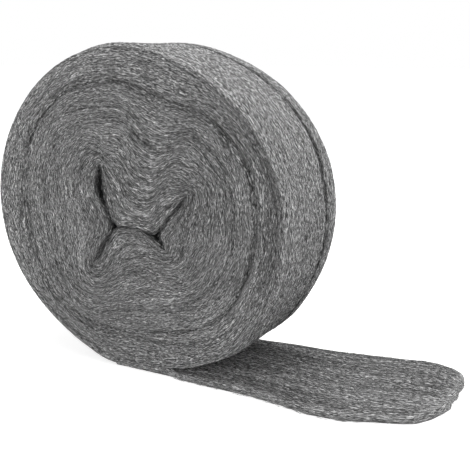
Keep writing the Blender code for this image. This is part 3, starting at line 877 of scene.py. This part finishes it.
def add(tree, kind, **values):
    """A shader node with its plain values set."""
    node = tree.nodes.new(kind)
    for name, value in values.items():
        setattr(node, name, value)
    return node


def sum_of(tree, operation, *values, clamp=False):
    """A Math node on sockets or numbers, and its output."""
    node = add(tree, "ShaderNodeMath", operation=operation, use_clamp=clamp)
    for socket, value in zip(node.inputs, values):
        if isinstance(value, bpy.types.NodeSocket):
            tree.links.new(value, socket)
        else:
            socket.default_value = value
    return node.outputs[0]


def stroke_noise(tree, turn, rise, inputs, girth):
    """Noise drawn out along the wool's lay, on turns of one girth, so that it closes on itself."""
    round_length = sum_of(tree, "MULTIPLY", girth, RIM_LENGTH)
    slope = sum_of(tree, "DIVIDE", inputs["Slant"], round_length)
    angle = sum_of(tree, "MULTIPLY", sum_of(tree, "MULTIPLY_ADD", rise, slope, turn), 2 * math.pi)
    round_radius = sum_of(tree, "DIVIDE", round_length, 2 * math.pi)
    radius = sum_of(tree, "DIVIDE", round_radius, inputs["Length"])
    join = add(tree, "ShaderNodeCombineXYZ")
    for k, operation in enumerate(("COSINE", "SINE")):
        tree.links.new(sum_of(tree, "MULTIPLY", sum_of(tree, operation, angle), radius), join.inputs[k])
    depth = sum_of(tree, "ADD", sum_of(tree, "DIVIDE", rise, inputs["Width"]), inputs["Seed"])
    tree.links.new(depth, join.inputs[2])
    noise = add(tree, "ShaderNodeTexNoise", noise_dimensions="3D")
    noise.inputs["Scale"].default_value = 1.0
    noise.inputs["Detail"].default_value = 2.0
    noise.inputs["Roughness"].default_value = 0.65
    tree.links.new(join.outputs[0], noise.inputs["Vector"])
    return noise.outputs[0]


# Inputs of the fibre strokes after the lay, with their usual values; length and width in millimetres
STROKE_INPUTS = {"Girth": 1.0, "Slant": 0.0, "Length": 5.0, "Width": 0.6, "Seed": 0.0, "Sharpness": 3.0}
# The lays of strokes: slant, length, width, seed, sharpness
STRAIGHT_STROKES = (0.0, 7.0, 0.42, 0.0, 4.5)
LEFT_STROKES = (0.08, 5.0, 0.46, 33.0, 4.5)
RIGHT_STROKES = (-0.08, 5.0, 0.46, 71.0, 4.5)
FINE_STROKES = (0.03, 3.5, 0.30, 11.0, 5.0)
# Heights of the slanting strokes beside the straight ones, and the share of the height that isn't fine
LEFT_HEIGHT, RIGHT_HEIGHT, STROKE_SHARE = 0.9, 0.85, 0.6
# Greys of the wool from its depth, near black with painted shade between the strokes, to its top, and of a
# fibre's darker and lighter stretches
WOOL_GREYS = ((0.3, 0.008), (0.5, 0.05), (0.75, 0.22), (0.95, 0.8))
FIBRE_GREYS = ((0.3, 0.6), (0.7, 1.0))
# Roughness in the depth of the wool and how much its top loses, and of the fibres from even to uneven
WOOL_ROUGH, WOOL_TOP_SHINE = 0.72, 0.25
FIBRE_ROUGH, FIBRE_ROUGH_MORE = 0.3, 0.3


def stroke_group():
    """Fibre strokes as a mask; near the hollow, where turns are short, they keep their length."""
    tree = bpy.data.node_groups.new("fibre_strokes", "ShaderNodeTree")
    tree.interface.new_socket("Lay", in_out="INPUT", socket_type="NodeSocketVector")
    for name, value in STROKE_INPUTS.items():
        socket = tree.interface.new_socket(name, in_out="INPUT", socket_type="NodeSocketFloat")
        socket.default_value = value
    tree.interface.new_socket("Mask", in_out="OUTPUT", socket_type="NodeSocketFloat")
    inputs = add(tree, "NodeGroupInput").outputs
    outputs = add(tree, "NodeGroupOutput")
    split = add(tree, "ShaderNodeSeparateXYZ")
    tree.links.new(inputs["Lay"], split.inputs[0])
    rise = sum_of(tree, "MULTIPLY", split.outputs[1], THICK)
    halvings = sum_of(tree, "MULTIPLY", sum_of(tree, "LOGARITHM", inputs["Girth"], 2.0), -1.0)
    whole = sum_of(tree, "FLOOR", sum_of(tree, "MAXIMUM", halvings, 0.0))
    blend = sum_of(tree, "SUBTRACT", halvings, whole, clamp=True)
    girth = sum_of(tree, "POWER", 0.5, whole)
    wide = stroke_noise(tree, split.outputs[0], rise, inputs, girth)
    narrow = stroke_noise(tree, split.outputs[0], rise, inputs, sum_of(tree, "MULTIPLY", girth, 0.5))
    mix = add(tree, "ShaderNodeMix", data_type="FLOAT")
    for socket, value in zip(mix.inputs[0:1] + mix.inputs[2:4], (blend, wide, narrow)):
        tree.links.new(value, socket)
    centred = sum_of(tree, "SUBTRACT", mix.outputs[0], 0.5)
    mask = sum_of(tree, "MULTIPLY_ADD", centred, inputs["Sharpness"], 0.5, clamp=True)
    tree.links.new(mask, outputs.inputs["Mask"])
    return tree


def strokes(tree, group, lay, girth, values):
    """One lay of fibre strokes, placed in a material."""
    node = add(tree, "ShaderNodeGroup", node_tree=group)
    tree.links.new(lay, node.inputs["Lay"])
    tree.links.new(girth, node.inputs["Girth"])
    for name, value in zip(("Slant", "Length", "Width", "Seed", "Sharpness"), values):
        node.inputs[name].default_value = value
    return node.outputs["Mask"]


def new_material(name):
    """A material with its node tree and its shader."""
    material = bpy.data.materials.new(name)
    material.use_nodes = True
    tree = material.node_tree
    return material, tree, tree.nodes["Principled BSDF"]


def steel_grey(tree, shader, mask, light, stops):
    """Greys of the steel from a mask, made lighter or darker by painted light and shade, which also hold the
    wool's own streaks or a fibre's own tone.
    """
    ladder = add(tree, "ShaderNodeValToRGB")
    while len(ladder.color_ramp.elements) < len(stops):
        ladder.color_ramp.elements.new(0.5)
    for element, (at, grey) in zip(ladder.color_ramp.elements, stops):
        element.position = at
        element.color = (grey, grey, grey, 1)
    tree.links.new(mask, ladder.inputs[0])
    scale = add(tree, "ShaderNodeVectorMath", operation="SCALE")
    tree.links.new(ladder.outputs[0], scale.inputs[0])
    tree.links.new(light, scale.inputs["Scale"])
    tree.links.new(scale.outputs[0], shader.inputs["Base Color"])


def wool_material(group):
    """Matted fine steel: crossing strokes light over a depth darkened with painted shade, scaled by the
    wool's painted light and shade, dull in the grooves.
    """
    material, tree, shader = new_material("matted_wool")
    lay = add(tree, "ShaderNodeUVMap", uv_map="Lay").outputs[0]
    light = add(tree, "ShaderNodeAttribute", attribute_name="Light").outputs["Fac"]
    girth = add(tree, "ShaderNodeAttribute", attribute_name="Girth").outputs["Fac"]
    straight = strokes(tree, group, lay, girth, STRAIGHT_STROKES)
    left = strokes(tree, group, lay, girth, LEFT_STROKES)
    right = strokes(tree, group, lay, girth, RIGHT_STROKES)
    fine = strokes(tree, group, lay, girth, FINE_STROKES)
    top = sum_of(tree, "MAXIMUM", straight, sum_of(tree, "MULTIPLY", left, LEFT_HEIGHT))
    top = sum_of(tree, "MAXIMUM", top, sum_of(tree, "MULTIPLY", right, RIGHT_HEIGHT))
    fine = sum_of(tree, "MULTIPLY", fine, 1 - STROKE_SHARE)
    height = sum_of(tree, "MULTIPLY_ADD", top, STROKE_SHARE, fine)
    steel_grey(tree, shader, height, light, WOOL_GREYS)
    rough = sum_of(tree, "SUBTRACT", WOOL_ROUGH, sum_of(tree, "MULTIPLY", height, WOOL_TOP_SHINE))
    tree.links.new(rough, shader.inputs["Roughness"])
    shader.inputs["Metallic"].default_value = 0.35
    bumps = add(tree, "ShaderNodeBump")
    bumps.inputs["Strength"].default_value = 0.8
    bumps.inputs["Distance"].default_value = 0.0005
    tree.links.new(height, bumps.inputs["Height"])
    tree.links.new(bumps.outputs[0], shader.inputs["Normal"])
    return material


def fibre_material():
    """Single fibres: each its own grey times the wool's painted light and shade, a little uneven along its
    length.
    """
    material, tree, shader = new_material("loose_fibre")
    tone_and_light = add(tree, "ShaderNodeAttribute", attribute_name="Tone").outputs["Fac"]
    where = add(tree, "ShaderNodeTexCoord").outputs["Object"]
    noise = add(tree, "ShaderNodeTexNoise")
    noise.inputs["Scale"].default_value = 1500
    noise.inputs["Detail"].default_value = 1.0
    tree.links.new(where, noise.inputs["Vector"])
    steel_grey(tree, shader, noise.outputs[0], tone_and_light, FIBRE_GREYS)
    rough = sum_of(tree, "MULTIPLY_ADD", noise.outputs[0], FIBRE_ROUGH_MORE, FIBRE_ROUGH)
    tree.links.new(rough, shader.inputs["Roughness"])
    shader.inputs["Metallic"].default_value = 0.4
    return material


# Studio

# Light from all round, and lamps: place in metres, side in metres, watts
WORLD_FILL = 0.5
LAMPS = (
    ("top_light", (0.35, 0.35, 1.6), 1.6, 28),
    ("side_light", (1.5, -0.5, 0.8), 1.0, 8),
    ("front_light", (-0.4, -1.6, 0.7), 1.2, 12),
)
LAMPS_AIM = Vector((0.02, 0, 0.1))
# The floor: side and depth below the bench in metres, its grey, and the share and strength of white on top
FLOOR_SIDE, FLOOR_DOWN, FLOOR_GREY = 30, 0.0002, 0.9
FLOOR_WHITE_SHARE, FLOOR_WHITE_STRENGTH = 0.36, 2.0


def seen_directly(tree):
    """1 for rays that show the background, 0 for rays that only light the object."""
    path = add(tree, "ShaderNodeLightPath")
    seen = sum_of(tree, "MAXIMUM", path.outputs["Is Camera Ray"], path.outputs["Is Glossy Ray"])
    return sum_of(tree, "MAXIMUM", seen, path.outputs["Is Transmission Ray"])


def make_studio():
    """Plain pale floor, white surroundings and soft light from above."""
    scene = bpy.context.scene
    scene.view_settings.view_transform = "Standard"
    world = bpy.data.worlds.new("studio")
    scene.world = world
    world.use_nodes = True
    tree = world.node_tree
    background = tree.nodes["Background"]
    background.inputs["Color"].default_value = (1, 1, 1, 1)
    strength = sum_of(tree, "MULTIPLY_ADD", seen_directly(tree), 1 - WORLD_FILL, WORLD_FILL)
    tree.links.new(strength, background.inputs["Strength"])

    bpy.ops.mesh.primitive_plane_add(size=FLOOR_SIDE, location=(0, 0, -FLOOR_DOWN))
    floor = bpy.context.object
    floor.name = "floor"
    paper, tree, shader = new_material("white_paper")
    shader.inputs["Base Color"].default_value = (FLOOR_GREY, FLOOR_GREY, FLOOR_GREY, 1)
    shader.inputs["Roughness"].default_value = 0.9
    glow = add(tree, "ShaderNodeEmission")
    glow.inputs["Strength"].default_value = FLOOR_WHITE_STRENGTH
    mix = add(tree, "ShaderNodeMixShader")
    tree.links.new(sum_of(tree, "MULTIPLY", seen_directly(tree), FLOOR_WHITE_SHARE), mix.inputs[0])
    tree.links.new(shader.outputs[0], mix.inputs[1])
    tree.links.new(glow.outputs[0], mix.inputs[2])
    tree.links.new(mix.outputs[0], tree.nodes["Material Output"].inputs[0])
    floor.data.materials.append(paper)

    for name, place, size, watts in LAMPS:
        lamp = bpy.data.lights.new(name, "AREA")
        lamp.size = size
        lamp.energy = watts
        lamp_object = bpy.data.objects.new(name, lamp)
        lamp_object.location = place
        aim = LAMPS_AIM - Vector(place)
        lamp_object.rotation_euler = aim.to_track_quat("-Z", "Y").to_euler()
        scene.collection.objects.link(lamp_object)


def make_camera():
    """The photo's own view."""
    data = bpy.data.cameras.new("camera")
    data.sensor_width = SENSOR
    data.lens = CAMERA_LENS
    camera = bpy.data.objects.new("camera", data)
    azimuth, elevation = math.radians(CAMERA_AZIMUTH), math.radians(CAMERA_ELEVATION)
    level = math.cos(elevation)
    back = Vector((math.sin(azimuth) * level, -math.cos(azimuth) * level, math.sin(elevation)))
    camera.location = CAMERA_PLACE
    camera.rotation_euler = (-back).to_track_quat("-Z", "Y").to_euler()
    bpy.context.scene.collection.objects.link(camera)
    bpy.context.scene.camera = camera


make_camera()
make_studio()
build_wool(wool_material(stroke_group()))
all_fibres(fibre_material())
bpy.context.view_layer.update()
